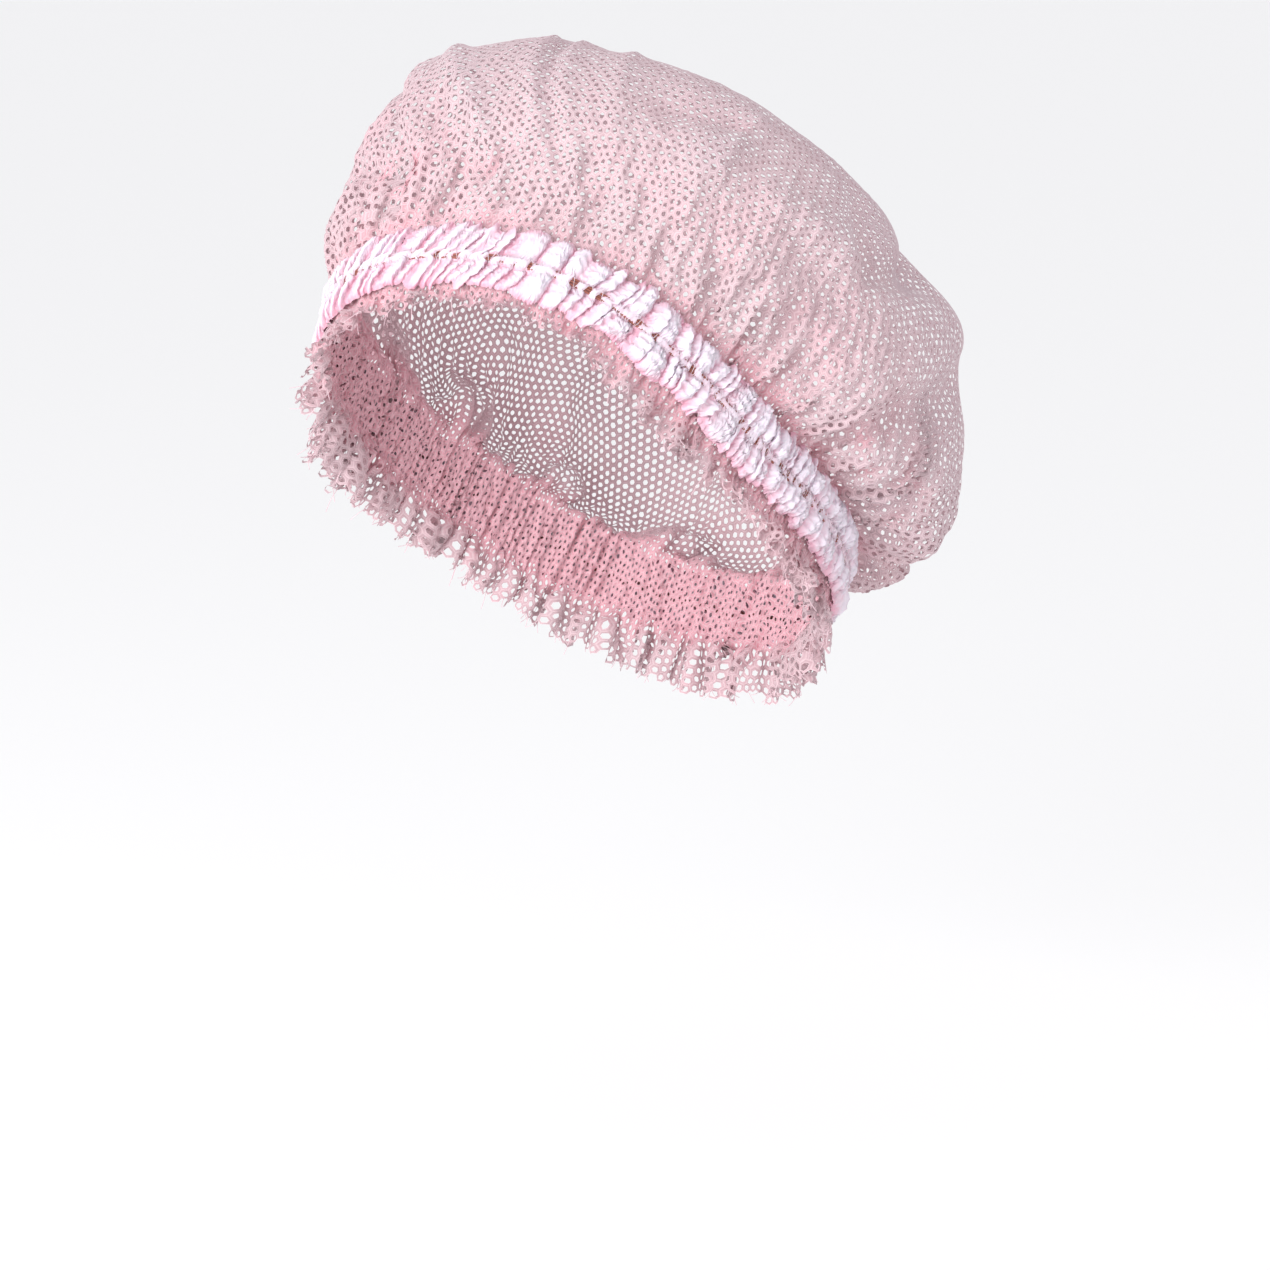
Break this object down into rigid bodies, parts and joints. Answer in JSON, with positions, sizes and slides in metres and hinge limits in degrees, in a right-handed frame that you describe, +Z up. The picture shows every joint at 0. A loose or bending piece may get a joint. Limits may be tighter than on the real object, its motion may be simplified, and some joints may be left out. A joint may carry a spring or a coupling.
{
  "type": "hairnet",
  "caption": "Puffed disposable net cap with a gathered elastic band and a raw frilled edge, in its worn form.",
  "frame": {"origin": "middle of the head opening, on the level where the band grips", "axes": "+Z up, -Y towards the forehead, +X towards the wearer's left"},
  "size_m": [0.2079, 0.2396, 0.231],
  "materials": {
    "net": "matte pink warp-knitted net",
    "gathered_band": "glossy white film tape with a pink tint",
    "elastic": "matte reddish-brown covered latex"
  },
  "bodies": {
    "root": {"net": "net", "gathered_band": "gathered_band", "elastic": "elastic"}
  },
  "joints": []
}
